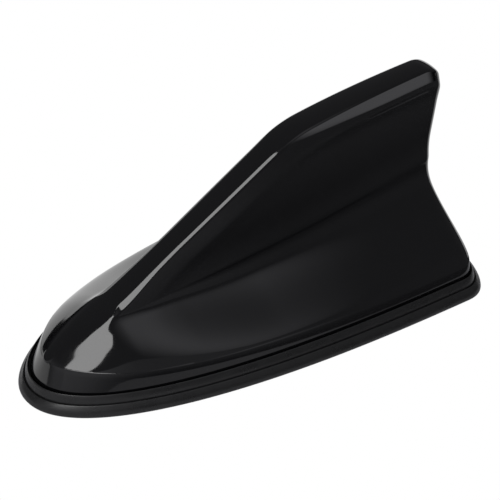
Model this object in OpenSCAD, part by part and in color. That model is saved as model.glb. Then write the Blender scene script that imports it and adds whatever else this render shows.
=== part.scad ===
// Shark fin roof aerial: gloss moulded cover, rubber seal, base plate and the aerial parts it holds.
// Nose towards -X, tail towards +X, roof plane at z = 0, millimetres.

/* [Outline] */
// Length of the rubber seal from nose to tail
seal_len = 170; // [150:1:190]
// Width of the rubber seal at its widest
seal_w = 86.4; // [80:0.2:96]
// Distance from the tail to the widest point
tail_run = 16.8; // [14:0.2:22]
// Roundness of the outline along the nose
nose_p = 2.36; // [2.2:0.02:2.6]
// Fullness of the outline across the nose
nose_q = 2.09; // [1.9:0.01:2.3]
// Roundness of the outline along the tail
tail_p = 2.9; // [2.6:0.1:3.4]
// Fullness of the outline across the tail
tail_q = 2.21; // [2:0.01:2.6]
// Rise of the seal's rim in the middle of its length, to follow a curved roof
bow = 1.1; // [0:0.1:1.5]

/* [Seal] */
// Height of the seal's outer bead
bead_h = 4.6; // [4:0.1:5]
// Height of the thin lip round the cover
lip_h = 7.7; // [7:0.1:8.5]
// Width of the lip at its root
lip_w = 1.8; // [1.4:0.1:2]
// Width of the outer bead
bead_w = 2.2; // [2:0.1:2.5]
// Gap between the lip and the cover
seam_gap = 0.25; // [0.1:0.05:0.3]
// Height of the ledge the cover stands on
ledge_h = 6.4; // [5.6:0.1:6.6]
// Thickness of the web under the base plate
web_t = 1.6; // [1.2:0.1:2]
// Width of the web under the base plate
web_w = 5; // [3:0.5:6]

/* [Cover] */
// Wall thickness of the cover
wall = 2; // [1.6:0.1:2.2]
// Height of the upright skirt above the cover's lower edge
skirt_h = 4; // [3:0.1:5]
// Further height of the skirt at the nose
skirt_nose_h = 3.9; // [2:0.1:4.5]
// Further height of the skirt at the tail
skirt_tail_h = 1.6; // [0:0.1:2.5]
// How far the skirt leans back at the nose
skirt_lean = 3.2; // [1:0.1:4]
// Distance from the seal's nose to where the fin rises out of the cover
fin_at = 35.4; // [33:0.2:39]
// Height of the cover where the fin rises out of the nose
fin_z = 28.6; // [27:0.2:30]
// Slope of the fin's leading edge, rise over run
fin_slope = 0.572; // [0.5:0.002:0.6]
// Height of the flat back of the fin at its tip
tip_z = 72.6; // [66:0.1:76]
// Curve of the back, as a drop for each square millimetre run forward of the tip
back_curve = 0.0012; // [0.0008:0.0001:0.002]
// Length over which the leading edge bends into the back
bend = 3.4; // [2:0.1:8]
// Half width of the flat strip along the leading edge and back
strip_half = 5.1; // [4.6:0.1:5.6]
// How much wider each half of the strip grows towards the nose
nose_wide = 1.2; // [0:0.1:1.6]
// Rise of the strip in its middle
strip_crown = 0.5; // [0.3:0.1:0.8]
// Rounding of the strip's two edges
edge_soft = 1.5; // [0.8:0.1:2]
// Further rounding of those edges on the nose, where the strip fades out
nose_soft = 4; // [2:0.5:6]
// Depth of the bevel below the strip
bevel_d = 6.4; // [5:0.1:7]
// Depth of that bevel along the back
bevel_back_d = 4.6; // [4:0.1:6]
// How far the bevel spreads outwards on each side
bevel_out = 2.1; // [1.6:0.1:2.6]
// How far the side panel is sunk under the bevel
panel_sunk = 1; // [0.4:0.1:1.2]
// How much each side panel widens downwards over ten millimetres
panel_draft = 0.45; // [0.2:0.05:0.6]
// Height of the shoulder of the lower body behind the nose
shoulder_z = 26.4; // [25:0.1:28]
// Height of the shoulder at the tail
shoulder_tail_z = 38; // [30:0.5:42]
// How hollow the lower body sweeps up into the side panel
sweep = 1.6; // [1:0.1:2]
// Width of the soft curve where the sweep meets the side panel
root_soft = 1.6; // [1:0.1:3]
// Radius of the fin's rear edge seen from above
rear_round = 4.2; // [3:0.1:5]
// Radius of the tip seen from the side
tip_round = 8.5; // [6:0.1:10]
// How far the rear edge is hollowed at its waist
waist_in = 0.8; // [0.4:0.1:2]
// How far the tip hangs back over the waist
tip_out = 4.9; // [2:0.1:5.5]

/* [Base plate] */
// Thickness of the base plate
plate_t = 2.5; // [2:0.1:3]
// Height of the plate's upright rim above the plate
rim_h = 3.6; // [2:0.1:4]
// Thickness of that rim
rim_t = 1.5; // [1:0.1:2]
// Gap between parts that are laid beside each other
fit_gap = 0.3; // [0.2:0.05:0.4]
// Diameter of the lead's outlet in the plate
outlet_d = 11; // [9:0.5:12]
// Distance from the seal's tail to the middle of the outlet
outlet_back = 39; // [37:1:41]
// Bore of the grommet
lead_d = 4.6; // [3:0.1:5.5]

/* [Screws] */
// Thread diameter of the cover screws
screw_d = 2.9; // [2.6:0.1:3.2]
// Head diameter of the cover screws
screw_head_d = 5.6; // [5:0.1:6]
// Length of the cover screws under the head
screw_l = 8; // [6:0.5:8]
// Outer diameter of the cover's screw posts
post_d = 6.6; // [6:0.1:7.5]
// Thread diameter of the small screws
small_d = 2.2; // [1.8:0.1:2.4]
// Head diameter of the small screws
small_head_d = 4; // [3.6:0.1:4.2]
// Length of the small screws under the head
small_l = 5; // [4:0.5:5.5]

/* [Amplifier board] */
// Length of the board
board_l = 54; // [50:1:56]
// Width of the board
board_w = 40; // [34:1:42]
// Thickness of the board
board_t = 1.6; // [1:0.1:2]
// Height of the board over the base plate
board_up = 3.9; // [3.5:0.1:5]
// Distance from the board's rear edge to the top element
board_back = 6; // [5:1:8]
// Thickness of the earth plate under the board
earth_t = 0.5; // [0.3:0.1:0.8]
// Length of the screening can
can_l = 22; // [18:1:24]
// Width of the screening can
can_w = 18; // [14:1:20]
// Height of the screening can
can_h = 4.2; // [3.5:0.1:5]
// Sheet thickness of the screening can
can_t = 0.3; // [0.2:0.1:0.5]

/* [Coil and element] */
// Diameter of the coil wire
wire_d = 0.8; // [0.6:0.1:1]
// Mean radius of the coil
coil_r = 3.6; // [3.2:0.1:3.8]
// Number of turns
coil_turns = 9; // [6:1:11]
// Distance from one turn to the next
coil_pitch = 1.7; // [1.4:0.1:1.8]
// Length of the top element
element_l = 46; // [36:1:48]
// Half width of the top element
element_half = 3.3; // [2.8:0.1:3.4]
// Depth of the element's side flanges
element_drop = 11; // [8:1:12]
// Sheet thickness of the element
element_t = 0.4; // [0.3:0.1:0.5]
// Height of the element's top face
element_z = 64; // [60:0.5:64]
// Thickness of the holder's upright web
web_half = 1.8; // [1.4:0.1:2]

/* [Hidden] */

// Outline in plan. A station u runs from -1 at the nose through 0 at the widest point to 1 at the tail,
// and inset is how far a curve lies inside the seal's outer edge.
wide_at = seal_len - tail_run;
wide_x = wide_at - seal_len / 2;
fin_x = fin_at - seal_len / 2;
front_n = 34;
rear_n = 12;
stations = concat(
    [for (i = [0:front_n - 1]) -pow(cos(90 * i / front_n), 2 / nose_p)],
    [for (i = [0:rear_n]) pow(sin(90 * i / rear_n), 2 / tail_p)]);
last = front_n + rear_n;
function out_x(u, inset) = wide_x + u * ((u < 0 ? wide_at : seal_len - wide_at) - inset);
function out_y(u, inset) = (seal_w / 2 - inset)
    * (u < 0 ? pow(max(0, 1 - pow(-u, nose_p)), 1 / nose_q) : pow(max(0, 1 - pow(u, tail_p)), 1 / tail_q));
function station(x, inset) = x < wide_x ? (x - wide_x) / (wide_at - inset)
    : min(1, (x - wide_x) / (seal_len - wide_at - inset));
function lift(x) = bow * (1 - pow(2 * x / seal_len, 2));

// Blends
function ease(a, b, x) = let(t = min(1, max(0, (x - a) / (b - a)))) t * t * (3 - 2 * t);
function soft_max(a, b, k) = max(a, b) + pow(max(0, k - abs(a - b)), 2) / (4 * max(k, 0.001));
function soft_min(a, b, k) = min(a, b) - pow(max(0, k - abs(a - b)), 2) / (4 * max(k, 0.001));

// Where the cover stands
cover_in = bead_w + lip_w + seam_gap;
cover_z = ledge_h + 0.1;
skirt_in_mid = cover_in + 0.2;
function skirt_in(u) = skirt_in_mid + skirt_lean * pow(max(0, -u), 8);
function skirt_z(u) = cover_z + skirt_h + lift(out_x(u, cover_in))
    + skirt_nose_h * pow(max(0, -u), 2.5) + skirt_tail_h * pow(max(0, u), 2);
nose_x = out_x(-1, skirt_in(-1));
nose_z = skirt_z(-1);
tail_x = out_x(1, skirt_in_mid);

// Height of the strip's edge along the cover, before the tip is rounded off: a rising nose, then the
// straight leading edge, then the nearly level back
function nose_line(x) = nose_z + (fin_z - nose_z) * pow(max(0, (x - nose_x) / (fin_x - nose_x)), 0.76);
function fin_line(x) = fin_z + fin_slope * (x - fin_x);
function back_line(x) = tip_z - back_curve * pow(tail_x - x, 2);
function top_line(x) = soft_min(soft_max(nose_line(x), fin_line(x), 1), back_line(x), bend);
function tip_fall(x, r) = x < tail_x - r ? 0 : r - sqrt(max(0, r * r - pow(x - tail_x + r, 2)));

// Shoulder of the lower body: it follows the strip at the nose, leaves it where the fin begins and climbs
// towards the tail
function shoulder(x) = let(run = min(1, max(0, (x - fin_x) / (tail_x - fin_x))))
    soft_min(top_line(x), shoulder_z + (shoulder_tail_z - shoulder_z) * pow(run, 1.25), 1.5);
function bevel_at(x) = bevel_d + (bevel_back_d - bevel_d) * ease(5, 30, x);

// Half width of the cover at station u and height z, with the surface moved inwards by o
function rear_close(x, r) = x < tail_x - r ? 1 : sqrt(max(0, 1 - pow((x - tail_x + r) / r, 2)));
function strip_z(x, o) = top_line(x) - tip_fall(x + o * ease(40, tail_x - o, x), tip_round) - 1.15 * o;
function strip_w(x, y_skirt, o) =
    let(more = nose_wide * (1 - ease(-60, -25, x)) * ease(-78, -60, x))
    let(w = strip_half - 0.00018 * pow(x - 12, 2) + more - 0.6 * o)
    w * y_skirt / sqrt(y_skirt * y_skirt + 1.5 * w * w);
function panel_w(x, depth, w) = let(b = bevel_at(x))
    w + bevel_out * min(1, depth / b) - panel_sunk * ease(b, b + 7, depth)
        + panel_draft * max(0, depth - b - 3) / 10;
function flare(x) = 1.3 + 0.2 * ease(-60, -30, x);
function hollow(x) = 1 + sweep * ease(fin_x - 4, fin_x + 50, x);
function edge_width(x, strip) = min(edge_soft, 0.5 * strip)
    + nose_soft * (1 - ease(fin_x - 12, fin_x, x)) * strip / (strip + 2);
function half_width(u, z, o) =
    let(inset = skirt_in(u) + o)
    let(x = out_x(u, inset))
    let(y_skirt = max(0.001, out_y(u, inset)))
    let(z_skirt = skirt_z(u) - 0.4 * o)
    let(z_top = strip_z(x, o))
    let(close = rear_close(x + o * ease(40, tail_x - o, x), rear_round))
    let(w = strip_w(x, y_skirt, o))
    let(z_sh = min(z_top, shoulder(x) - 1.15 * o))
    let(root = (panel_w(x, max(0, z_top - z_sh), w) - 0.4 * o) * close)
    let(t = max(0, (z - z_skirt) / (z_sh - z_skirt)))
    let(rise = pow(max(0, 1 - pow(t, flare(x))), hollow(x)))
    let(body = root + (y_skirt - root) * rise - 0.5 * max(0, z - z_sh))
    let(side = (z > z_top ? w : panel_w(x, z_top - z, w) - 0.4 * o) * close)
    let(strip = w * sqrt(max(0, 1 + (z_top - z) / strip_crown)) * close)
    let(both = soft_max(body, side, min(root_soft, 0.8 * side)))
    max(0, soft_min(both, strip, edge_width(x, strip)));
function rear_shift(x, z) = let(h = (z - nose_z) / (tip_z - nose_z))
    ease(30, tail_x, x) * (tip_out * ease(0.3, 0.95, h) - waist_in * ease(-0.05, 0.3, h));

// Heights of the rows of points at one station, from the skirt's top up to the middle of the strip
outer_rows = [[0, 0.05, 0.13, 0.23, 0.34, 0.46, 0.6, 0.78], [0, 0.2, 0.5, 0.78], [1, 0.7, 0.42, 0.2, 0.06],
    [1, 0.8, 0.45, 0]];
inner_rows = [[0, 0.15, 0.32, 0.52, 0.75], [0, 0.4, 0.75], [1, 0.45], [0.9, 0]];
function row_heights(u, o, rows) =
    let(x = out_x(u, skirt_in(u) + o), low = skirt_z(u) - 0.4 * o, top = strip_z(x, o))
    let(mid = min(shoulder(x) - 1.15 * o, top - 0.14 * (top - low)))
    let(bevel = min(bevel_at(x) + 5, 0.7 * (top - mid)))
    concat(
        [for (f = rows[0]) low + (mid - low) * f],
        [for (f = rows[1]) mid + (top - bevel - mid) * f],
        [for (f = rows[2]) top - bevel * f],
        [for (f = rows[3]) top + strip_crown * (1 - f * f)]);
function row_count(rows) = len(rows[0]) + len(rows[1]) + len(rows[2]) + len(rows[3]);
function foot_point(u, o) = let(x = out_x(u, cover_in + o)) [x, -out_y(u, cover_in + o), cover_z + lift(x)];
function side_points(o, rows) = [for (i = [0:last])
    let(u = stations[i], x = out_x(u, skirt_in(u) + o))
    concat([foot_point(u, o)], [for (z = row_heights(u, o, rows))
        [x + rear_shift(x, z), i == last ? 0 : -half_width(u, z, o), z]])];

// A closed skin over both sides: points and faces share the nose, the tail and the middle of the strip
function near_id(i, r, n, start) = start + (i == 0 && r > 0 ? 1 : i * (n + 1) + r);
function far_id(i, r, n, start) = i == 0 || i == last || r == n ? near_id(i, r, n, start)
    : start + (last + 1) * (n + 1) + (i - 1) * n + r;
function skin_points(side, n) = concat(
    [for (i = [0:last], r = [0:n]) side[i][r]],
    [for (i = [1:last - 1], r = [0:n - 1]) [side[i][r].x, -side[i][r].y, side[i][r].z]]);
function skin_size(n) = (last + 1) * (n + 1) + (last - 1) * n;
function real(t) = t[0] == t[1] || t[1] == t[2] || t[0] == t[2] ? [] : [t];
function fan(q, turn) = turn ? concat(real([q[0], q[1], q[2]]), real([q[0], q[2], q[3]]))
    : concat(real([q[0], q[2], q[1]]), real([q[0], q[3], q[2]]));
function skin_faces(n, start, out) = [for (i = [0:last - 1], r = [0:n - 1]) each concat(
    fan([for (k = [[0, 0], [0, 1], [1, 1], [1, 0]]) near_id(i + k[0], r + k[1], n, start)], out),
    fan([for (k = [[0, 0], [0, 1], [1, 1], [1, 0]]) far_id(i + k[0], r + k[1], n, start)], !out))];
function rim_faces(n, m, start) = [for (i = [0:last - 1]) each concat(
    fan([near_id(i, 0, n, 0), near_id(i + 1, 0, n, 0),
        near_id(i + 1, 0, m, start), near_id(i, 0, m, start)], true),
    fan([far_id(i, 0, n, 0), far_id(i + 1, 0, n, 0),
        far_id(i + 1, 0, m, start), far_id(i, 0, m, start)], false))];
module cover_shell() {
    outer = side_points(0, outer_rows);
    inner = side_points(wall, inner_rows);
    n = row_count(outer_rows);
    m = row_count(inner_rows);
    polyhedron(
        points = concat(skin_points(outer, n), skin_points(inner, m)),
        faces = concat(skin_faces(n, 0, true), skin_faces(m, skin_size(n), false),
            rim_faces(n, m, skin_size(n))),
        convexity = 8);
}

// Height of the cover's outside over a point of the lower body
function body_z(x, y) =
    let(u = station(x, skirt_in_mid), low = skirt_z(u), foot = out_y(u, skirt_in(u)))
    let(root = panel_w(x, top_line(x) - shoulder(x), strip_half - 0.6))
    low + (shoulder(x) - low)
        * pow(max(0, 1 - pow(max(0, (y - root) / (foot - root)), 1 / hollow(x))), 1 / flare(x));

// Levels of the parts inside, each standing on the one below
plate_z = web_t;
floor_z = plate_z + plate_t;
well_z = floor_z + 2.6;
head_z = well_z - 2;
board_z = floor_z + board_up;
deck_z = board_z + board_t;
plate_in = 7 + fit_gap;
foot_z = floor_z + 2.5;
element_end = tail_x - 8.55;
element_x = element_end - element_l;
deck_end = element_x - board_back;
board_x = deck_end - board_l;
outlet_x = seal_len / 2 - outlet_back;
function plate_y(x) = out_y(station(x, plate_in), plate_in);
post_places = [[board_x - 11, 0.39], [element_x + 2, 0.76], [element_end - 11, 0.72]];
posts = [for (p = post_places) [p.x, p.y * plate_y(p.x)]];
board_holes = [[board_x + 3.5, board_w / 2 - 3.5], [deck_end - 3.5, board_w / 2 - 3.5]];
holder_x = element_x - 4;
holder_holes = [[holder_x + 8, 6], [element_end - 7, 6]];
element_holes = [element_x + 10, element_end - 6];
can_x = board_x + 0.11 * board_l;
coil_x = board_x + 0.72 * board_l;
coil_z = deck_z + 2.6;
coil_top = coil_z + coil_turns * coil_pitch;
$fn = 40;

module at(places, z) for (p = places, side = [-1, 1]) translate([p.x, side * p.y, z]) children();
module block(l, w, h) translate([0, -w / 2, 0]) cube([l, w, h]);
module plan(inset) polygon(concat(
    [for (i = [0:last]) [out_x(stations[i], inset), -out_y(stations[i], inset)]],
    [for (i = [last - 1:-1:1]) [out_x(stations[i], inset), out_y(stations[i], inset)]]));
module slab(inset, z, h) translate([0, 0, z]) linear_extrude(h) plan(inset);

// Screw with a domed head, a crossed recess and a pointed end, its head standing on z = 0
module pan_screw(thread, head, length) {
    head_h = 0.32 * head;
    difference() {
        union() {
            intersection() {
                translate([0, 0, -0.4 * head]) sphere(r = 0.72 * head);
                cylinder(d = head, h = head_h);
            }
            translate([0, 0, -0.75 * length]) cylinder(d = thread, h = 0.75 * length);
            translate([0, 0, -length]) cylinder(d1 = 0.4 * thread, d2 = thread, h = 0.25 * length);
        }
        for (a = [0, 90]) rotate(a)
            translate([-0.26 * head, -0.06 * head, 0.4 * head_h]) cube([0.52 * head, 0.12 * head, head_h]);
    }
}

module fin_cover() color("#101012") difference() {
    union() {
        cover_shell();
        for (p = posts, side = [-1, 1]) translate([p.x, side * p.y, well_z])
            cylinder(d = post_d, h = body_z(p.x, p.y + post_d / 2) - 0.5 - well_z);
    }
    at(posts, well_z - 1) cylinder(d = screw_d + 0.1, h = screw_l);
}

// Section of the seal: how far inside the outer edge, how high, and how much of the rim's rise it takes
seal_section = [
    [1, 0, 1], [0.25, 0.45, 1], [0, 1.2, 1], [0.1, 2.1, 1], [0.55, 3.2, 1], [1.25, bead_h - 0.5, 1],
    [bead_w - 0.4, bead_h, 1], [bead_w, bead_h - 0.2, 1], [bead_w + 0.35, ledge_h - 0.8, 1],
    [bead_w + 0.75, ledge_h + 0.2, 1], [bead_w + 1.2, lip_h - 0.3, 1], [bead_w + 1.5, lip_h, 1],
    [bead_w + lip_w, lip_h - 0.15, 1], [bead_w + lip_w + 0.02, ledge_h, 1], [7, ledge_h, 1], [7, web_t, 0],
    [7 + web_w, web_t, 0], [7 + web_w, 0, 0], [7, 0, 0]];
module base_gasket() color("#262626") {
    sides = concat([for (i = [0:last]) [stations[i], -1]], [for (i = [last - 1:-1:1]) [stations[i], 1]]);
    n = len(sides);
    m = len(seal_section);
    polyhedron(
        points = [for (s = sides, c = seal_section) let(x = out_x(s[0], c[0]))
            [x, s[1] * out_y(s[0], c[0]), c[1] + c[2] * lift(x)]],
        faces = [for (i = [0:n - 1], r = [0:m - 1])
            let(a = i * m + r, b = i * m + (r + 1) % m)
            let(c = (i + 1) % n * m + (r + 1) % m, d = (i + 1) % n * m + r)
            each [[a, b, c], [a, c, d]]],
        convexity = 8);
}

module base_plate() color("#2b2c2e") difference() {
    union() {
        slab(plate_in, plate_z, plate_t);
        difference() {
            slab(plate_in, plate_z, plate_t + rim_h);
            slab(plate_in + rim_t, plate_z - 1, plate_t + rim_h + 2);
        }
        at(posts, plate_z) cylinder(d = post_d + 3, h = well_z - plate_z);
        at(board_holes, plate_z) cylinder(d = 5.5, h = board_z - plate_z);
        at(holder_holes, plate_z) cylinder(d = 5.5, h = foot_z - plate_z);
    }
    at(posts, plate_z - 1) cylinder(d = screw_head_d + 0.6, h = head_z - plate_z + 1);
    at(posts, plate_z - 1) cylinder(d = screw_d + 0.4, h = 10);
    at(board_holes, floor_z) cylinder(d = small_d + 0.1, h = 10);
    at(holder_holes, floor_z - 1) cylinder(d = small_d + 0.1, h = 10);
    translate([outlet_x, 0, 0]) cylinder(d = outlet_d, h = 10);
}

module adhesive_pad() color("#3a3b3d") difference() {
    slab(7 + web_w + fit_gap, 0, web_t);
    translate([outlet_x, 0, -1]) cylinder(d = outlet_d + 5, h = 5);
    at(posts, -1) cylinder(d = screw_head_d + 0.6, h = 5);
}

module lead_grommet() color("#1c1c1c") translate([outlet_x, 0, 0]) rotate_extrude() polygon([
    [lead_d / 2, 0.3], [outlet_d / 2 + 1.6, 0.3], [outlet_d / 2 + 1.9, 0.6], [outlet_d / 2 + 1.9, plate_z],
    [outlet_d / 2 - 0.1, plate_z], [outlet_d / 2 - 0.1, floor_z], [outlet_d / 2 + 1.9, floor_z],
    [outlet_d / 2 + 1.9, floor_z + 0.8], [outlet_d / 2 + 1.2, floor_z + 1.5], [lead_d / 2, floor_z + 1.5]]);

module cover_screws() color("#b9bcc0")
    at(posts, head_z) mirror([0, 0, 1]) pan_screw(screw_d, screw_head_d, screw_l);

module ground_plate() color("#c9c6bd") difference() {
    translate([board_x - 3, 0, floor_z]) block(board_l + 6, 36, earth_t);
    at(board_holes, 0) cylinder(d = 6.1, h = 10);
}

module amplifier_board() color("#1f5a3a") difference() {
    translate([board_x, 0, board_z]) block(board_l, board_w, board_t);
    at(board_holes, board_z - 1) cylinder(d = small_d + 0.4, h = 5);
}

module board_screws() color("#b9bcc0") at(board_holes, deck_z) pan_screw(small_d, small_head_d, small_l);

module shield_can() color("#c4c7ca") translate([can_x, 0, deck_z]) difference() {
    block(can_l, can_w, can_h);
    translate([can_t, 0, -1]) block(can_l - 2 * can_t, can_w - 2 * can_t, can_h + 1 - can_t);
    for (x = [0.18:0.16:0.82], y = [-0.25, 0, 0.25])
        translate([x * can_l, y * can_w, can_h - 1]) cylinder(d = 1.4, h = 2);
}

module amplifier_chip() color("#17181a") translate([can_x + can_l / 2 - 2, 0, deck_z]) {
    block(5, 4, 1.3);
    for (x = [0.6:1.27:4.5], side = [-1, 1]) translate([x, side * 2.4, 0]) block(0.4, 1, 0.5);
}

module signal_filter() color("#c9b26a")
    for (side = [-1, 1]) translate([can_x + 3, side * (can_w / 2 + 3.5), deck_z]) block(5, 3.8, 1.4);

module chip_capacitors() color("#b79a6a")
    for (x = [0.5:0.14:0.92], side = [-1, 1])
        translate([can_x + x * can_l, side * (can_w / 2 + 2.5), deck_z]) block(1.2, 2, 1);

module chip_resistors() color("#242628")
    for (x = [0.5:0.14:0.92], side = [-1, 1])
        translate([can_x + x * can_l, side * (can_w / 2 + 6.5), deck_z]) block(1.2, 2, 0.6);

module supply_choke() color("#3b3632") translate([coil_x - 1, board_w / 2 - 6.5, deck_z]) {
    cylinder(d = 7, h = 1);
    translate([0, 0, 1]) cylinder(d = 4.6, h = 3);
    translate([0, 0, 4]) cylinder(d = 7, h = 0.8);
}

module electrolytic_capacitor() color("#a9b0b8") translate([coil_x - 1, 6.5 - board_w / 2, deck_z]) {
    translate([-2.8, 0, 0]) block(5.6, 5.6, 0.8);
    translate([0, 0, 0.8]) cylinder(d = 5, h = 5);
}

module braid_clamp() color("#c6a24f") translate([deck_end - 5, -7, deck_z]) rotate([90, 0, 90])
    linear_extrude(4) difference() {
        union() {
            circle(d = lead_d + 0.2, $fn = 60);
            translate([-4.2, 0]) square([8.4, 0.5]);
        }
        circle(d = lead_d - 0.8, $fn = 60);
        translate([-5, -5]) square([10, 5]);
    }

module signal_terminal() color("#c6a24f") translate([deck_end - 8.5, -7, deck_z]) {
    cylinder(d = 2.4, h = 0.5);
    translate([0, 0, 0.5]) cylinder(d = 1.2, h = 2.4);
}

module coil_former() color("#e4e1d8") translate([coil_x, 0, 0]) difference() {
    union() {
        translate([0, 0, deck_z]) cylinder(r = coil_r + 1.2, h = 1.6);
        translate([0, 0, deck_z]) cylinder(r = coil_r - wire_d / 2 - 0.1, h = coil_top + 1 - deck_z);
        translate([0, 0, coil_top + 1]) cylinder(r = coil_r + 1.2, h = 1.2);
    }
    translate([0, 0, deck_z - 1]) cylinder(r = 1.4, h = 60);
    translate([coil_r, 0, coil_top]) cylinder(d = wire_d + 0.3, h = 5);
}

// Round wire wound up the former, both ends cut square
module loading_coil() color("#b5672f") {
    steps = 12;
    sides = 6;
    count = coil_turns * steps;
    rise = atan(coil_pitch / (2 * PI * coil_r));
    translate([coil_x, 0, coil_z]) polyhedron(
        points = [for (i = [0:count], s = [0:sides - 1])
            let(a = 360 * i / steps, b = 360 * s / sides)
            let(q = wire_d / 2 * sin(b), r = coil_r + wire_d / 2 * cos(b))
            [r * cos(a) + q * sin(rise) * sin(a), r * sin(a) - q * sin(rise) * cos(a),
                coil_pitch * i / steps + q * cos(rise)]],
        faces = concat(
            [[for (s = [0:sides - 1]) s], [for (s = [sides - 1:-1:0]) count * sides + s]],
            [for (i = [0:count - 1], s = [0:sides - 1])
                let(a = i * sides + s, b = i * sides + (s + 1) % sides)
                each [[a, a + sides, b + sides], [a, b + sides, b]]]),
        convexity = 12);
}

// Wire from the coil's upper end to the element's tab, in three straight runs
wire_path = [[coil_x + coil_r, coil_top + wire_d / 2 + 0.1], [coil_x + coil_r, coil_top + 12],
    [element_x - 2, element_z - 8], [element_x - 2, element_z - element_t]];
module feed_wire() color("#b5672f") {
    for (i = [0:2]) {
        run = wire_path[i + 1] - wire_path[i];
        translate([wire_path[i].x, 0, wire_path[i].y]) rotate([0, atan2(run.x, run.y), 0])
            cylinder(d = wire_d, h = norm(run), $fn = 16);
    }
    for (i = [1, 2]) translate([wire_path[i].x, 0, wire_path[i].y]) sphere(d = wire_d, $fn = 16);
}

holder_side = let(leg = 16, top = element_z - element_t) [
    [holder_x, foot_z], [holder_x + leg, foot_z], [holder_x + leg, foot_z + 5.4],
    [holder_x + leg + 4, foot_z + 13.4], [element_end - leg - 3, foot_z + 13.4],
    [element_end - leg + 1, foot_z + 5.4], [element_end - leg + 1, foot_z], [element_end, foot_z],
    [element_end, top], [holder_x + 5, top], [holder_x + 5, top - 13.6], [holder_x, top - 21.6]];
rib_top = foot_z + 14.4;
holder_rib = [[-8.5, foot_z + 2], [8.5, foot_z + 2], [web_half - 0.2, rib_top], [0.2 - web_half, rib_top]];
module element_holder() color("#d8d5cb") difference() {
    union() {
        translate([0, web_half, 0]) rotate([90, 0, 0]) linear_extrude(2 * web_half) polygon(holder_side);
        translate([holder_x, 0, foot_z]) block(16, 18, 2.5);
        translate([element_end - 15, 0, foot_z]) block(15, 18, 2.5);
        for (x = [holder_x + 2, element_end - 1])
            translate([x, 0, 0]) rotate([90, 0, -90]) linear_extrude(1.2) polygon(holder_rib);
    }
    for (x = [holder_x + 9, element_end - 21]) translate([x, 0, element_z - 36]) block(13, 10, 18);
    at(holder_holes, foot_z - 1) cylinder(d = small_d + 0.4, h = 5);
    for (x = element_holes) translate([x, 0, element_z - 7]) cylinder(d = small_d + 0.1, h = 10);
}

module holder_screws() color("#b9bcc0")
    at(holder_holes, foot_z + 2.5) pan_screw(small_d, small_head_d, small_l);

module top_element() color("#c9ccd0") difference() {
    union() {
        translate([element_x, 0, element_z - element_drop])
            block(element_l, 2 * element_half, element_drop);
        translate([element_x - 4, 0, element_z - element_t]) block(5, 4, element_t);
    }
    translate([element_x - 1, 0, element_z - element_drop - 1])
        block(element_l + 2, 2 * (element_half - element_t), element_drop + 1 - element_t);
    for (x = element_holes) translate([x, 0, element_z - 2]) cylinder(d = small_d + 0.4, h = 5);
}

module element_screws() color("#b9bcc0")
    for (x = element_holes) translate([x, 0, element_z]) pan_screw(small_d, small_head_d, small_l);

module foam_damper() color("#4a4b4e") translate([element_end - 25, 0, element_z])
    block(12, 5, back_line(element_end - 25) - 1.15 * wall - 0.3 - element_z);

fin_cover();
base_gasket();
base_plate();
adhesive_pad();
lead_grommet();
cover_screws();
ground_plate();
amplifier_board();
board_screws();
shield_can();
amplifier_chip();
signal_filter();
chip_capacitors();
chip_resistors();
supply_choke();
electrolytic_capacitor();
braid_clamp();
signal_terminal();
coil_former();
loading_coil();
feed_wire();
element_holder();
holder_screws();
top_element();
element_screws();
foam_damper();
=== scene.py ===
import math
import bpy
from mathutils import Matrix, Vector


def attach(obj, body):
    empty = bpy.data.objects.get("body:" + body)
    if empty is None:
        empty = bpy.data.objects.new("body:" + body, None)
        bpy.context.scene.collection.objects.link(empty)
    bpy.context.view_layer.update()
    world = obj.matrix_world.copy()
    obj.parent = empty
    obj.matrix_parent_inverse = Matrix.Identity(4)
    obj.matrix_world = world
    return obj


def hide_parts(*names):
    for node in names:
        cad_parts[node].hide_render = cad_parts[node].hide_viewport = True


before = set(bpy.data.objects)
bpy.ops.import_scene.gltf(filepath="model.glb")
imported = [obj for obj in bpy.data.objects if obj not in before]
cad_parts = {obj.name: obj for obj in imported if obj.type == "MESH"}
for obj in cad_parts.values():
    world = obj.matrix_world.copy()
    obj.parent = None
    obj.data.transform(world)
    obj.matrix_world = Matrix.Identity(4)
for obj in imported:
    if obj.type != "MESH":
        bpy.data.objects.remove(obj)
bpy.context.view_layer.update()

mm = 0.001

# Camera first. The photograph looks down on the near side from in front of the nose.
camera = {"azimuth": -36.56, "elevation": 37.72, "roll": 0.95, "distance": 898.5,
          "target": (5.96, 0.0, 23.84), "lens": 189.46, "sensor": 36.0, "clip": (0.05, 20)}
az, el, roll = (math.radians(camera[k]) for k in ("azimuth", "elevation", "roll"))
toCamera = Vector((math.sin(az) * math.cos(el), -math.cos(az) * math.cos(el), math.sin(el)))
right = Vector((math.cos(az), math.sin(az), 0))
up = toCamera.cross(right)
rolledRight = right * math.cos(roll) + up * math.sin(roll)
rolledUp = up * math.cos(roll) - right * math.sin(roll)
eye = Vector(camera["target"]) + toCamera * camera["distance"]
lensData = bpy.data.cameras.new("photoCamera")
lensData.lens = camera["lens"]
lensData.sensor_width = camera["sensor"]
lensData.clip_start, lensData.clip_end = camera["clip"]
photoCamera = bpy.data.objects.new("photoCamera", lensData)
photoCamera.matrix_world = Matrix.Translation(eye * mm) @ Matrix(
    (rolledRight, rolledUp, toCamera)).transposed().to_4x4()
bpy.context.scene.collection.objects.link(photoCamera)
bpy.context.scene.camera = photoCamera
print("camera placed")


# Colours are written as sRGB hex and turned to linear here
def linear(hexColour):
    values = [int(hexColour[i:i + 2], 16) / 255 for i in (1, 3, 5)]
    return [v / 12.92 if v <= 0.04045 else ((v + 0.055) / 1.055) ** 2.4 for v in values] + [1.0]


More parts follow.
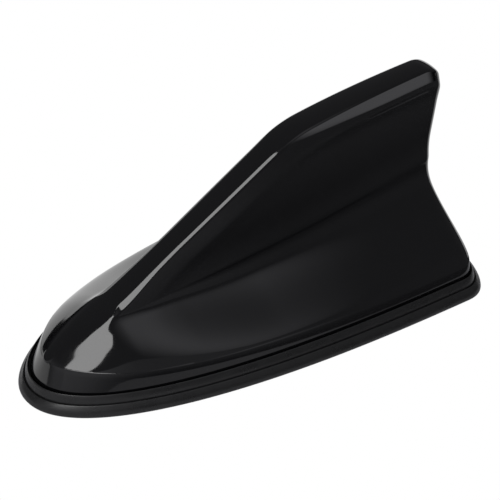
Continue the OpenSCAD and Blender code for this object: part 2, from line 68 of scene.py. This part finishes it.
def addNode(tree, kind, settings=None, inputs=None):
    node = tree.nodes.new(kind)
    for name, value in (settings or {}).items():
        setattr(node, name, value)
    for socket, value in (inputs or {}).items():
        if isinstance(value, bpy.types.NodeSocket):
            tree.links.new(value, node.inputs[socket])
        else:
            node.inputs[socket].default_value = value
    return node


def emptyTree(owner):
    owner.use_nodes = True
    owner.node_tree.nodes.clear()
    return owner.node_tree


# Every finish: two close colours mottled together, a roughness that drifts, and a fine grain in relief.
# Sizes are in millimetres.
def makeFinish(name, spec):
    material = bpy.data.materials.new(name)
    tree = emptyTree(material)
    place = addNode(tree, "ShaderNodeTexCoord").outputs["Object"]
    mottle = addNode(tree, "ShaderNodeTexNoise", {}, {
        "Vector": place, "Scale": 1000 / spec["mottleSize"], "Detail": 3.0, "Roughness": 0.55})
    colour = addNode(tree, "ShaderNodeMix", {"data_type": "RGBA"}, {0: mottle.outputs["Fac"]})
    colour.inputs[6].default_value = linear(spec["colours"][0])
    colour.inputs[7].default_value = linear(spec["colours"][1])
    drift = addNode(tree, "ShaderNodeMapRange", {}, {
        "Value": mottle.outputs["Fac"], "From Min": 0.3, "From Max": 0.7,
        "To Min": spec["rough"][0], "To Max": spec["rough"][1]})
    grain = addNode(tree, "ShaderNodeTexNoise", {}, {
        "Vector": place, "Scale": 1000 / spec["grainSize"], "Detail": 2.0, "Roughness": 0.5})
    relief = addNode(tree, "ShaderNodeBump", {}, {
        "Height": grain.outputs["Fac"], "Strength": spec["relief"], "Distance": spec["grainDepth"] * mm})
    surface = addNode(tree, "ShaderNodeBsdfPrincipled", {}, {
        "Base Color": colour.outputs[2], "Roughness": drift.outputs["Result"],
        "Normal": relief.outputs["Normal"], "Metallic": spec.get("metallic", 0.0)})
    if "ior" in spec:
        surface.inputs["IOR"].default_value = spec["ior"]
    addNode(tree, "ShaderNodeOutputMaterial", {}, {"Surface": surface.outputs["BSDF"]})
    return material


finishes = {
    # Moulded ABS off a polished tool: a mirror gloss with the faint waviness of a moulded skin
    "polishedBlackAbs": {"colours": ("#0b0b0c", "#0e0e10"), "mottleSize": 14, "rough": (0.05, 0.075),
                         "grainSize": 2.4, "grainDepth": 0.004, "relief": 0.25, "ior": 1.52},
    # EPDM rubber from an eroded mould: soft satin, dull in the grooves
    "mouldedRubber": {"colours": ("#1a1a1b", "#212122"), "mottleSize": 6, "rough": (0.24, 0.36),
                      "grainSize": 0.5, "grainDepth": 0.03, "relief": 0.35, "ior": 1.5},
    # Glass-filled nylon: a fine matt texture with slight flow marks
    "filledNylon": {"colours": ("#242527", "#2e2f32"), "mottleSize": 9, "rough": (0.5, 0.65),
                    "grainSize": 0.6, "grainDepth": 0.03, "relief": 0.4, "ior": 1.53},
    # Closed-cell acrylic foam tape: matt and finely pored
    "foamTape": {"colours": ("#2f3032", "#3c3d3f"), "mottleSize": 3, "rough": (0.8, 0.92),
                 "grainSize": 0.9, "grainDepth": 0.12, "relief": 0.7, "ior": 1.45},
    # Unpigmented acetal: milky with a soft sheen
    "naturalAcetal": {"colours": ("#d9d5c9", "#e6e2d8"), "mottleSize": 12, "rough": (0.35, 0.45),
                      "grainSize": 0.8, "grainDepth": 0.015, "relief": 0.3, "ior": 1.48},
    # Zinc plated steel: cool grey, slightly cloudy
    "zincPlatedSteel": {"colours": ("#a9adb3", "#bfc2c6"), "mottleSize": 1.5, "rough": (0.28, 0.4),
                        "grainSize": 0.4, "grainDepth": 0.01, "relief": 0.3, "metallic": 1.0},
    # Tinned sheet steel: bright with faint crystal clouding
    "tinnedSheet": {"colours": ("#b4b6b8", "#c9cbcc"), "mottleSize": 5, "rough": (0.22, 0.34),
                    "grainSize": 1.2, "grainDepth": 0.01, "relief": 0.25, "metallic": 1.0},
    # Stamped brass: warm yellow, a little dull
    "stampedBrass": {"colours": ("#b08d45", "#c4a25a"), "mottleSize": 2, "rough": (0.25, 0.38),
                     "grainSize": 0.5, "grainDepth": 0.01, "relief": 0.3, "metallic": 1.0},
    # Enamelled copper wire: copper under a clear amber varnish
    "enamelledCopper": {"colours": ("#8f4a22", "#a4582c"), "mottleSize": 2, "rough": (0.18, 0.26),
                        "grainSize": 0.4, "grainDepth": 0.006, "relief": 0.3, "metallic": 1.0},
    # Drawn aluminium can: pale satin metal
    "drawnAluminium": {"colours": ("#b7babd", "#c8cbcd"), "mottleSize": 2, "rough": (0.25, 0.33),
                       "grainSize": 0.4, "grainDepth": 0.008, "relief": 0.3, "metallic": 1.0},
    # Moulded epoxy package: charcoal with a fine eroded texture
    "epoxyPackage": {"colours": ("#17181a", "#202123"), "mottleSize": 2, "rough": (0.5, 0.6),
                     "grainSize": 0.25, "grainDepth": 0.02, "relief": 0.5, "ior": 1.55},
    # Fired ceramic of the chip capacitors: tan, chalky
    "firedCeramic": {"colours": ("#9a7a4e", "#b08f62"), "mottleSize": 0.8, "rough": (0.55, 0.7),
                     "grainSize": 0.25, "grainDepth": 0.02, "relief": 0.5, "ior": 1.6},
    # Ferrite core: dark brown-grey and porous
    "sinteredFerrite": {"colours": ("#2a2623", "#38322e"), "mottleSize": 1.2, "rough": (0.6, 0.75),
                        "grainSize": 0.3, "grainDepth": 0.03, "relief": 0.6, "ior": 1.6},
    # Glass epoxy board under green solder mask
    "solderMask": {"colours": ("#134a2c", "#1b5c38"), "mottleSize": 4, "rough": (0.25, 0.35),
                   "grainSize": 0.8, "grainDepth": 0.02, "relief": 0.4, "ior": 1.55},
}
materials = {name: makeFinish(name, spec) for name, spec in finishes.items()}
print("finishes made:", len(materials))

nodeFinish = {
    "base_plate": "filledNylon", "adhesive_pad": "foamTape", "lead_grommet": "mouldedRubber",
    "cover_screws": "zincPlatedSteel", "ground_plate": "tinnedSheet", "amplifier_board": "solderMask",
    "board_screws": "zincPlatedSteel", "shield_can": "tinnedSheet", "amplifier_chip": "epoxyPackage",
    "signal_filter": "stampedBrass", "chip_capacitors": "firedCeramic", "chip_resistors": "epoxyPackage",
    "supply_choke": "sinteredFerrite", "electrolytic_capacitor": "drawnAluminium",
    "braid_clamp": "stampedBrass", "signal_terminal": "stampedBrass", "coil_former": "naturalAcetal",
    "feed_wire": "enamelledCopper", "element_holder": "naturalAcetal", "holder_screws": "zincPlatedSteel",
    "top_element": "tinnedSheet", "element_screws": "zincPlatedSteel", "foam_damper": "foamTape"}
for node, finish in nodeFinish.items():
    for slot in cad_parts[node].material_slots:
        slot.material = materials[finish]


def addPiece(name, points, faces, finish, node):
    mesh = bpy.data.meshes.new(name)
    mesh.from_pydata([[v * mm for v in p] for p in points], [], faces)
    mesh.validate()
    mesh.materials.append(materials[finish])
    for polygon in mesh.polygons:
        polygon.use_smooth = True
    piece = bpy.data.objects.new(name, mesh)
    bpy.context.scene.collection.objects.link(piece)
    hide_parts(node)
    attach(piece, "root")


# The seal's outline in plan: a rounded nose, widest near the tail. A station runs from -1 at the nose
# through 0 at the widest point to 1 at the tail, and inset is the distance inside the seal's edge.
outline = {"length": 170.0, "width": 86.4, "wideAt": 153.2, "nose": (2.36, 2.09), "tail": (2.9, 2.21),
           "bow": 1.1, "noseStations": 190, "tailStations": 60}
wideX = outline["wideAt"] - outline["length"] / 2
tailRun = outline["length"] - outline["wideAt"]
stations = [-math.cos(math.pi / 2 * i / outline["noseStations"]) ** (2 / outline["nose"][0])
            for i in range(outline["noseStations"])]
stations += [math.sin(math.pi / 2 * i / outline["tailStations"]) ** (2 / outline["tail"][0])
             for i in range(outline["tailStations"] + 1)]


def outX(u, inset):
    return wideX + u * ((outline["wideAt"] if u < 0 else tailRun) - inset)


def outY(u, inset):
    p, q = outline["nose"] if u < 0 else outline["tail"]
    return (outline["width"] / 2 - inset) * max(0.0, 1 - abs(u) ** p) ** (1 / q)


# The seal bows up in the middle of its length
def lift(x):
    return outline["bow"] * (1 - (2 * x / outline["length"]) ** 2)


# From 0 at a to 1 at b, smoothly
def ease(a, b, x):
    t = min(1.0, max(0.0, (x - a) / (b - a)))
    return t * t * (3 - 2 * t)


# The larger or the smaller of two values, rounded off where they come within k of each other
def softMax(a, b, k):
    return max(a, b) + max(0.0, k - abs(a - b)) ** 2 / (4 * max(k, 0.001))


def softMin(a, b, k):
    return min(a, b) - max(0.0, k - abs(a - b)) ** 2 / (4 * max(k, 0.001))


# The gloss cover, in the same terms as the part it replaces, in fine steps and with rounded edges.
# A pair says where a change begins and where it is complete: along the length, from finX for the hollow,
# and as a share of the height for the tip and the waist.
cover = {
    "wall": 2.0, "wallTop": 1.15, "wallSide": 0.4, "wallStrip": 0.6,
    "foot": 6.5, "inset": 4.25, "skirtStep": 0.2, "lean": 3.2, "leanPower": 8,
    "skirt": 4.0, "skirtNose": 3.9, "skirtNosePower": 2.5, "skirtTail": 1.6,
    "skirtRows": 4, "skirtEdge": 1.1, "skirtEdgeMost": 0.45, "skirtEdgeSteps": 8,
    "finX": -49.6, "finZ": 28.6, "finSlope": 0.572, "nosePower": 0.76, "noseBlend": 1,
    "tipZ": 72.57, "backCurve": 0.0012, "bend": 3.4, "tipRound": 8.5,
    "rearRound": 4.2, "rearFrom": 40, "rearShiftFrom": 30,
    "tipOut": 4.9, "tipOutSpan": (0.3, 0.95), "waist": 0.8, "waistSpan": (-0.05, 0.3),
    "shoulder": 26.4, "shoulderTail": 38.0, "shoulderPower": 1.25, "shoulderBlend": 1.5, "shoulderFall": 0.5,
    "flare": 1.3, "flareTail": 0.2, "flareRun": (-60, -30),
    "hollow": 1.6, "hollowRun": (-4, 50), "rootSoft": 4.0, "rootShare": 0.8,
    "strip": 5.1, "stripBow": 0.00018, "stripWidest": 12, "stripPinch": 1.5, "crown": 0.5,
    "edge": 1.5, "edgeShare": 0.5, "noseSoft": 4.0, "noseSoftRun": 12, "noseSoftWidth": 2,
    "noseWide": 1.2, "noseWideRun": (-25, -60), "noseWideStart": (-78, -60),
    "bevel": 6.4, "bevelBack": 4.6, "bevelRun": (5, 30), "bevelOut": 2.1,
    "bevelSoft": 0.25, "bevelSoftLow": 1.0, "sunk": 0.6, "sunkLow": 0.45, "lowRun": (60, 5), "sunkDepth": 7,
    "draft": 0.045, "draftFrom": 3,
    "chamfer": 0.95, "chamferSlope": 0.587, "chamferEdge": 0.4, "chamferRun": (26, 10),
    "chamferStart": (-57, -50),
    "rows": (30, 16, 26, 14), "innerRows": (8, 5, 4, 2), "panelLeast": 0.14,
    "bevelMore": 5, "bevelMost": 0.7, "bevelPower": 0.7}
c = cover


# The skirt's upper edge: how far inside the seal's edge it runs, and how high
def skirtIn(u):
    return c["inset"] + c["skirtStep"] + c["lean"] * max(0.0, -u) ** c["leanPower"]


def skirtZ(u):
    return (c["foot"] + c["skirt"] + lift(outX(u, c["inset"]))
            + c["skirtNose"] * max(0.0, -u) ** c["skirtNosePower"] + c["skirtTail"] * max(0.0, u) ** 2)


noseX, noseZ = outX(-1, skirtIn(-1)), skirtZ(-1)
tailX = outX(1, skirtIn(1))


# The top line in three runs: over the nose, up the fin's leading edge, and back to the tip
def topLine(x):
    nose = noseZ + (c["finZ"] - noseZ) * max(0.0, (x - noseX) / (c["finX"] - noseX)) ** c["nosePower"]
    leading = c["finZ"] + c["finSlope"] * (x - c["finX"])
    back = c["tipZ"] - c["backCurve"] * (tailX - x) ** 2
    return softMin(softMax(nose, leading, c["noseBlend"]), back, c["bend"])


# The height where the fin grows out of the body, and the form of the body's flank below it
def shoulder(x):
    run = max(0.0, min(1.0, (x - c["finX"]) / (tailX - c["finX"])))
    rise = (c["shoulderTail"] - c["shoulder"]) * run ** c["shoulderPower"]
    return softMin(topLine(x), c["shoulder"] + rise, c["shoulderBlend"])


def flare(x):
    return c["flare"] + c["flareTail"] * ease(*c["flareRun"], x)


def hollow(x):
    start, end = c["hollowRun"]
    return 1 + c["hollow"] * ease(c["finX"] + start, c["finX"] + end, x)


def bevelAt(x):
    return c["bevel"] + (c["bevelBack"] - c["bevel"]) * ease(*c["bevelRun"], x)


# Both edges of the strip carry a narrow flat chamfer, from the fin's foot to just short of the top's knee
def chamferAt(x):
    return ease(*c["chamferRun"], x) * ease(*c["chamferStart"], x)


# A wall set in by o ends that much before the tail, so its sections there are taken from further back
def drawnBack(x, o):
    return x + o * ease(c["rearFrom"], tailX - o, x)


# The height of the strip's edges, which fall away round the tip
def stripZ(x, o):
    run, r = drawnBack(x, o), c["tipRound"]
    fall = 0.0 if run < tailX - r else r - math.sqrt(max(0.0, r * r - (run - tailX + r) ** 2))
    return topLine(x) - fall - c["wallTop"] * o


# Half the fin's width at a depth under the strip, whose half is w: bevel, sunk side panel, then draft
def panelWidth(x, depth, w):
    b, low = bevelAt(x), ease(*c["lowRun"], x)
    soft = c["bevelSoft"] + c["bevelSoftLow"] * low
    sunk = c["sunk"] + (c["sunkLow"] - c["sunk"]) * low
    return (w + c["bevelOut"] * max(0.0, softMin(depth / b, 1.0, soft))
            - sunk * ease(b, b + c["sunkDepth"], depth)
            + c["draft"] * max(0.0, depth - b - c["draftFrom"]))


# Half the cover's width at station u and height z, on the outside or on a wall set in by o
def halfWidth(u, z, o):
    inset = skirtIn(u) + o
    x, foot = outX(u, inset), max(0.001, outY(u, inset))
    low, top = skirtZ(u) - c["wallSide"] * o, stripZ(x, o)
    back = (drawnBack(x, o) - tailX) / c["rearRound"] + 1
    close = math.sqrt(max(0.0, 1 - back ** 2)) if back > 0 else 1.0
    w = (c["strip"] - c["stripBow"] * (x - c["stripWidest"]) ** 2
         + c["noseWide"] * ease(*c["noseWideRun"], x) * ease(*c["noseWideStart"], x) - c["wallStrip"] * o)
    w *= foot / math.sqrt(foot * foot + c["stripPinch"] * w * w)
    mid = min(top, shoulder(x) - c["wallTop"] * o)
    t = max(0.0, (z - low) / (mid - low)) if mid > low else 1.0
    root = (panelWidth(x, max(0.0, top - mid), w) - c["wallSide"] * o) * close
    body = (root + (foot - root) * max(0.0, 1 - t ** flare(x)) ** hollow(x)
            - c["shoulderFall"] * max(0.0, z - mid))
    side = (w if z > top else panelWidth(x, top - z, w) - c["wallSide"] * o) * close
    body = softMax(body, side, min(c["rootSoft"], c["rootShare"] * side))
    strip = w * math.sqrt(max(0.0, 1 + (top - z) / c["crown"])) * close
    cut = chamferAt(x)
    soft = min(c["edge"] + (c["chamferEdge"] - c["edge"]) * cut, c["edgeShare"] * strip)
    nose = ease(c["finX"], c["finX"] - c["noseSoftRun"], x)
    soft += c["noseSoft"] * nose * strip / (strip + c["noseSoftWidth"])
    if cut > 0:
        chamfer = w + (top - z) / c["chamferSlope"] - c["chamfer"] * cut + 1 - cut
        body = softMin(body, chamfer, c["chamferEdge"])
    return max(0.0, softMin(body, strip, soft))


# The tail's edge leans back towards the tip and forward at the waist
def rearShift(x, z):
    h = (z - noseZ) / (c["tipZ"] - noseZ)
    tip, waist = ease(*c["tipOutSpan"], h), ease(*c["waistSpan"], h)
    return ease(c["rearShiftFrom"], tailX, x) * (c["tipOut"] * tip - c["waist"] * waist)


def steps(n, power=1.0):
    return [(i / n) ** power for i in range(n)]


# One station's section, from the foot up to the strip. The skirt's upper edge is rounded over the length
# called edge, each way.
def sidePoints(u, o, rows, edge):
    x = outX(u, skirtIn(u) + o)
    low, top = skirtZ(u) - c["wallSide"] * o, stripZ(x, o)
    mid = min(shoulder(x) - c["wallTop"] * o, top - c["panelLeast"] * (top - low))
    bevel = min(bevelAt(x) + c["bevelMore"], c["bevelMost"] * (top - mid))
    heights = [low + (mid - low) * f for f in steps(rows[0])]
    heights += [mid + (top - bevel - mid) * f for f in steps(rows[1])]
    heights += [top - bevel * (1 - f) for f in steps(rows[2], c["bevelPower"])]
    heights += [top + c["crown"] * (1 - f * f) for f in [1 - i / rows[3] for i in range(rows[3] + 1)]]
    ending = u >= 1
    profile = [Vector((x + rearShift(x, z), 0 if ending else -halfWidth(u, z, o), z)) for z in heights]
    footX = outX(u, c["inset"] + o)
    foot = Vector((footX, -outY(u, c["inset"] + o), c["foot"] + lift(footX)))
    if not edge:
        return [foot] + profile
    corner = profile[0]
    reach = min(edge, c["skirtEdgeMost"] * (foot - corner).length)
    start = corner + (foot - corner).normalized() * reach
    k = 1
    while k < rows[0] - 1 and (profile[k] - corner).length < reach:
        k += 1
    below, above = profile[k - 1], profile[k]
    span = (above - below).length
    share = (reach - (below - corner).length) / span if span > 1e-6 else 1.0
    end = below.lerp(above, min(1.0, max(0.0, share)))
    rounded = [start * (1 - t) ** 2 + corner * 2 * t * (1 - t) + end * t * t
               for t in steps(c["skirtEdgeSteps"]) + [1.0]]
    rest = [p if i >= k else end for i, p in enumerate(profile)][1:]
    return [foot.lerp(start, t) for t in steps(c["skirtRows"])] + rounded + rest


# A skin over the near side's columns and their mirror image. Both sides share the first and last columns
# and the top row, which lie on the middle plane.
def skin(columns, flip, points, faces):
    n, m, first = len(columns), len(columns[0]), len(points)
    points.extend(p for column in columns for p in column)
    far = {}
    for i in range(1, n - 1):
        for r in range(m - 1):
            far[i, r] = len(points)
            p = columns[i][r]
            points.append(Vector((p.x, -p.y, p.z)))

    def near(i, r):
        return first + i * m + r

    def other(i, r):
        return far.get((i, r), near(i, r))

    for i in range(n - 1):
        for r in range(m - 1):
            quad = [near(i, r), near(i + 1, r), near(i + 1, r + 1), near(i, r + 1)]
            back = [other(i, r), other(i, r + 1), other(i + 1, r + 1), other(i + 1, r)]
            for q in (quad, back):
                faces.append(q[::-1] if flip else q)
    return near, other


points, faces = [], []
outer = [sidePoints(u, 0, c["rows"], c["skirtEdge"]) for u in stations]
inner = [sidePoints(u, c["wall"], c["innerRows"], 0) for u in stations]
outerNear, outerFar = skin(outer, False, points, faces)
innerNear, innerFar = skin(inner, True, points, faces)
for i in range(len(stations) - 1):
    faces.append([outerNear(i + 1, 0), outerNear(i, 0), innerNear(i, 0), innerNear(i + 1, 0)])
    faces.append([outerFar(i, 0), outerFar(i + 1, 0), innerFar(i + 1, 0), innerFar(i, 0)])

# The cover's screw posts, blind bored from below. They reach up into its wall.
posts = {"places": [(-45, 9.56), (28, 26.65), (61, 25.84)], "foot": 6.7, "radius": 3.3, "bore": 1.55,
         "deep": 7.0, "into": 0.6, "sides": 32, "rounds": 6, "halvings": 30}


# Where a post meets the cover's inside: first the station at x, in a few rounds, then the height by halving
def insideHeight(x, y):
    u = -0.5
    for _ in range(posts["rounds"]):
        u = (x - wideX) / ((outline["wideAt"] if x < wideX else tailRun) - skirtIn(u) - c["wall"])
    low, high = skirtZ(u), stripZ(x, c["wall"]) + c["crown"]
    for _ in range(posts["halvings"]):
        middle = (low + high) / 2
        low, high = (middle, high) if halfWidth(u, middle, c["wall"]) > abs(y) else (low, middle)
    return low + posts["into"]


m = posts["sides"]
around = [(math.cos(2 * math.pi * i / m), math.sin(2 * math.pi * i / m)) for i in range(m)]
for postX, postY in [(x, side * y) for x, y in posts["places"] for side in (-1, 1)]:
    first = len(points)
    wallRing = [(postX + posts["radius"] * a, postY + posts["radius"] * b) for a, b in around]
    boreRing = [(postX + posts["bore"] * a, postY + posts["bore"] * b) for a, b in around]
    points += [Vector((x, y, insideHeight(x, y))) for x, y in wallRing]
    points += [Vector((x, y, posts["foot"])) for x, y in wallRing]
    points += [Vector((x, y, posts["foot"])) for x, y in boreRing]
    points += [Vector((x, y, posts["foot"] + posts["deep"])) for x, y in boreRing]
    for r in range(3):
        a, b = first + r * m, first + (r + 1) * m
        faces += [[a + i, b + i, b + (i + 1) % m, a + (i + 1) % m] for i in range(m)]
    faces.append([first + i for i in range(m)])
    faces.append([first + 3 * m + i for i in reversed(range(m))])
addPiece("glossCover", points, faces, "polishedBlackAbs", "fin_cover")
print("cover:", len(faces), "faces")

# The rubber seal: the same section as the part, with its corners worn round, swept round the outline.
# A point is its inset, its height, and whether it follows the seal's bow; soft ones are worn round.
seal = {"section": [(7, 0, 0), (1, 0, 1), (0.25, 0.45, 1), (0, 1.2, 1), (0.1, 2.0, 1), (0.4, 2.9, 1),
                    (0.95, 3.6, 1), (1.5, 4.2, 1), (1.9, 4.55, 1), (2.12, 4.35, 1), (2.2, 3.8, 1),
                    (2.4, 4.0, 1), (2.5, 5.4, 1), (2.85, 6.7, 1), (3.25, 7.5, 1), (3.5, 7.75, 1),
                    (3.75, 7.5, 1), (3.8, 6.4, 1), (7, 6.4, 1), (7, 1.6, 0), (12, 1.6, 0), (12, 0, 0)],
        "soft": range(1, 17), "rounds": 2}


# Each round cuts the soft corners off at a quarter of their sides
def roundCorners(corners, soft, rounds):
    marked = [(p, i in soft) for i, p in enumerate(corners)]
    for _ in range(rounds):
        cut = []
        for i, (p, loose) in enumerate(marked):
            before, after = marked[i - 1][0], marked[(i + 1) % len(marked)][0]
            if loose:
                cut.append((tuple(0.75 * a + 0.25 * b for a, b in zip(p, before)), True))
                cut.append((tuple(0.75 * a + 0.25 * b for a, b in zip(p, after)), True))
            else:
                cut.append((p, False))
        marked = cut
    return [p for p, _ in marked]


section = roundCorners(seal["section"], seal["soft"], seal["rounds"])
rings = [(u, -1) for u in stations] + [(u, 1) for u in stations[-2:0:-1]]
points = [(outX(u, inset), side * outY(u, inset), z + part * lift(outX(u, inset)))
          for u, side in rings for inset, z, part in section]
faces = []
for k in range(len(rings)):
    for r in range(len(section)):
        a, b = k * len(section), (k + 1) % len(rings) * len(section)
        s = (r + 1) % len(section)
        faces.append([a + r, b + r, b + s, a + s])
addPiece("rubberSeal", points, faces, "mouldedRubber", "base_gasket")
print("seal:", len(faces), "faces")

# Round wire on the former, in place of the part's coarse one
coil = {"centre": (4.88, 0.0), "radius": 3.6, "bottom": 12.2, "turns": 9, "pitch": 1.7, "wire": 0.8,
        "steps": 36}
wire = bpy.data.curves.new("coilWinding", "CURVE")
wire.dimensions = "3D"
wire.bevel_depth = coil["wire"] / 2 * mm
wire.bevel_resolution = 3
wire.use_fill_caps = True
run = wire.splines.new("POLY")
count = coil["turns"] * coil["steps"]
run.points.add(count)
for i in range(count + 1):
    turn = i / coil["steps"]
    run.points[i].co = ((coil["centre"][0] + coil["radius"] * math.cos(2 * math.pi * turn)) * mm,
                        (coil["centre"][1] + coil["radius"] * math.sin(2 * math.pi * turn)) * mm,
                        (coil["bottom"] + coil["pitch"] * turn) * mm, 1)
winding = bpy.data.objects.new("coilWinding", wire)
wire.materials.append(materials["enamelledCopper"])
bpy.context.scene.collection.objects.link(winding)
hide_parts("loading_coil")
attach(winding, "root")
print("coil:", coil["turns"], "turns")


def combine(tree, operation, a, b):
    return addNode(tree, "ShaderNodeMath", {"operation": operation}, {0: a, 1: b}).outputs[0]


# Studio: a white floor and surround. Camera and gloss see plain white, and all else the given shader.
def whiteWhereSeen(tree, kind, unseen, output):
    path = addNode(tree, "ShaderNodeLightPath").outputs
    seen = combine(tree, "MAXIMUM", path["Is Camera Ray"], path["Is Transmission Ray"])
    shown = combine(tree, "MAXIMUM", seen, path["Is Glossy Ray"])
    white = addNode(tree, kind, {}, {"Color": linear("#ffffff"), "Strength": 1.0})
    mixed = addNode(tree, "ShaderNodeMixShader", {}, {0: shown, 1: unseen.outputs[0], 2: white.outputs[0]})
    addNode(tree, output, {}, {"Surface": mixed.outputs[0]})


world = bpy.data.worlds.new("studio")
bpy.context.scene.world = world
tree = emptyTree(world)
fill = addNode(tree, "ShaderNodeBackground", {}, {"Color": linear("#ffffff"), "Strength": 0.45})
whiteWhereSeen(tree, "ShaderNodeBackground", fill, "ShaderNodeOutputWorld")

paperSheet = {"half": 3.0, "z": -0.0002, "colour": "#f4f4f4"}
floorPaper = bpy.data.materials.new("floorPaper")
tree = emptyTree(floorPaper)
paper = addNode(tree, "ShaderNodeBsdfDiffuse", {}, {"Color": linear(paperSheet["colour"])})
whiteWhereSeen(tree, "ShaderNodeEmission", paper, "ShaderNodeOutputMaterial")


def square(middle, half):
    x, y, z = middle
    return [(x + i * half, y + j * half, z) for i, j in ((-1, -1), (1, -1), (1, 1), (-1, 1))]


floorMesh = bpy.data.meshes.new("floor")
floorMesh.from_pydata(square((0, 0, 0), paperSheet["half"]), [], [[0, 1, 2, 3]])
floorMesh.materials.append(floorPaper)
floor = bpy.data.objects.new("floor", floorMesh)
floor.location.z = paperSheet["z"]
bpy.context.scene.collection.objects.link(floor)


# Cloths that only the gloss sees: a dark tent with two soft openings, a lit card over the flank, a flag
# beside the seal that keeps the low opening out of the flank, and felt on the floor, which is bare behind.
# Their sizes are in metres, and a level is the brightness that the gloss sees there.
def clothOf(name, level):
    cloth = bpy.data.materials.new(name)
    tree = emptyTree(cloth)
    place = addNode(tree, "ShaderNodeTexCoord").outputs["Object"]
    glow = addNode(tree, "ShaderNodeEmission", {}, {
        "Color": linear("#fafaff"), "Strength": level(tree, place)})
    addNode(tree, "ShaderNodeOutputMaterial", {}, {"Surface": glow.outputs[0]})
    return cloth


def addCloth(name, points, faces, level):
    mesh = bpy.data.meshes.new(name)
    mesh.from_pydata(points, [], faces)
    mesh.materials.append(clothOf(name + "Cloth", level))
    piece = bpy.data.objects.new(name, mesh)
    piece.visible_camera = False
    piece.visible_diffuse = False
    piece.visible_shadow = False
    piece.visible_transmission = False
    bpy.context.scene.collection.objects.link(piece)


# A soft change from one level to another: where it starts and ends, and the level before and after
def ramp(tree, value, spec):
    start, end, before, after = spec
    change = addNode(tree, "ShaderNodeMapRange", {"interpolation_type": "SMOOTHSTEP"}, {
        "Value": value, "From Min": start, "From Max": end, "To Min": before, "To Max": after})
    return change.outputs["Result"]


def along(tree, place, axis):
    return addNode(tree, "ShaderNodeSeparateXYZ", {}, {0: place}).outputs[axis]


def awayFrom(tree, place, point):
    return addNode(tree, "ShaderNodeVectorMath", {"operation": "DISTANCE"},
                   {0: place, 1: point}).outputs["Value"]


tent = {"radius": 2.0, "rings": 30, "sides": 72, "walls": (0.02, 0.3, 0.0, 0.13),
        "openings": (((-0.95, -0.3, 0.1), (0.2, 0.8, 0.42, 0.0)),
                     ((0.5, -0.83, 0.24), (0.12, 0.42, 1.05, 0.0)))}


def tentLevel(tree, place):
    outward = addNode(tree, "ShaderNodeVectorMath", {"operation": "NORMALIZE"}, {0: place}).outputs[0]
    spots = [ramp(tree, awayFrom(tree, outward, Vector(towards).normalized()), spec)
             for towards, spec in tent["openings"]]
    walls = ramp(tree, along(tree, outward, 2), tent["walls"])
    return combine(tree, "ADD", combine(tree, "MAXIMUM", *spots), walls)


n = tent["sides"]
points = []
for j in range(tent["rings"] + 1):
    tilt = math.pi / 2 * j / tent["rings"]
    flat = tent["radius"] * math.cos(tilt)
    points += [(flat * math.cos(2 * math.pi * i / n), flat * math.sin(2 * math.pi * i / n),
                tent["radius"] * math.sin(tilt)) for i in range(n)]
faces = [[j * n + i, j * n + (i + 1) % n, (j + 1) * n + (i + 1) % n, (j + 1) * n + i]
         for j in range(tent["rings"]) for i in range(n)]
addCloth("tent", points, faces, tentLevel)

flankCard = {"middle": (0.055, -0.08, 0.3), "half": 0.14, "level": (0.0, 0.14, 0.74, 0.13)}
addCloth("flankCard", square(flankCard["middle"], flankCard["half"]), [[0, 1, 2, 3]],
         lambda tree, place: ramp(tree, awayFrom(tree, place, flankCard["middle"]), flankCard["level"]))

felt = {"edge": [(-0.4, -0.4), (0.4, -0.4), (0.4, -0.25), (0.2, -0.08), (0.095, 0.0), (0.08, 0.03),
                 (-0.4, 0.03)],
        "z": -0.0001, "level": (-0.12, -0.05, 0.38, 0.06), "beside": (-0.056, -0.05, 0.0, 0.4)}
addCloth("felt", [(x, y, felt["z"]) for x, y in felt["edge"]], [list(range(len(felt["edge"])))],
         lambda tree, place: combine(tree, "MAXIMUM", ramp(tree, along(tree, place, 0), felt["level"]),
                                     ramp(tree, along(tree, place, 1), felt["beside"])))

flag = {"y": -0.05, "ends": (-0.2, 0.3), "height": 0.066, "lit": (-0.02, 0.04, 0.2, 0.08),
        "foot": (0.0, 0.035, 0.0, 1.0)}


def flagLevel(tree, place):
    lit = combine(tree, "MULTIPLY", ramp(tree, along(tree, place, 0), flag["lit"]),
                  ramp(tree, along(tree, place, 2), flag["foot"]))
    return combine(tree, "ADD", lit, ramp(tree, along(tree, place, 0), felt["level"]))


corners = ((0, 0), (1, 0), (1, 1), (0, 1))
addCloth("flag", [(flag["ends"][i], flag["y"], flag["height"] * j) for i, j in corners],
         [[0, 1, 2, 3]], flagLevel)

# Lamps: where one hangs, the length and width in metres, the way its long side runs, and its power
lamps = {
    "keySoftbox": {"towards": (-0.52, -0.24, 0.82), "distance": 1.0, "size": (0.84, 0.27),
                   "long": (0.48, 0.15, 0.38), "power": 3.9},
}
for name, lamp in lamps.items():
    data = bpy.data.lights.new(name, "AREA")
    data.shape = "RECTANGLE"
    data.size, data.size_y = lamp["size"]
    data.energy = lamp["power"]
    z = Vector(lamp["towards"]).normalized()
    x = Vector(lamp["long"])
    x = (x - z * x.dot(z)).normalized()
    turned = Matrix((x, z.cross(x), z)).transposed().to_4x4()
    piece = bpy.data.objects.new(name, data)
    piece.matrix_world = Matrix.Translation(z * lamp["distance"]) @ turned
    bpy.context.scene.collection.objects.link(piece)
bpy.context.scene.view_settings.view_transform = "Standard"
print("studio lit, lamps:", len(lamps))
